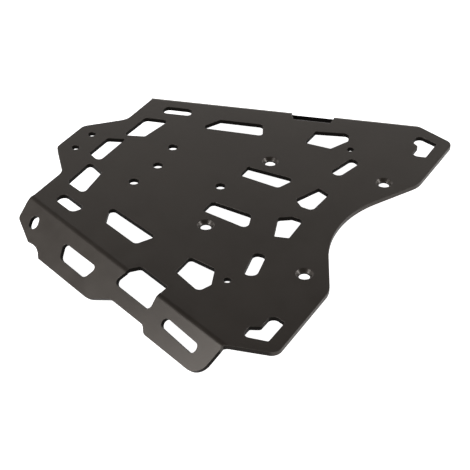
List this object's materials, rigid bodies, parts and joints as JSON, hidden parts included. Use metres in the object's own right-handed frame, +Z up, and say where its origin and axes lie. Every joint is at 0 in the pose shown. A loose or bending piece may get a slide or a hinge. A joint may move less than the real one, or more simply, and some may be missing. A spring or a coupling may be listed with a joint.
{
  "type": "motorcycle luggage rack",
  "caption": "Flat luggage rack plate with both long sides folded down, strap slots, countersunk fixing holes and a concave front edge that clears the seat.",
  "frame": {"origin": "middle of the rack in plan, level with the lowest edges of the folded sides", "axes": "+X forward to the seat, +Y to the left, +Z up out of the deck"},
  "size_m": [0.306, 0.3892, 0.0272],
  "materials": {
    "powder_coat": "satin"
  },
  "bodies": {
    "root": {"rack_plate": "powder_coat"}
  },
  "joints": []
}
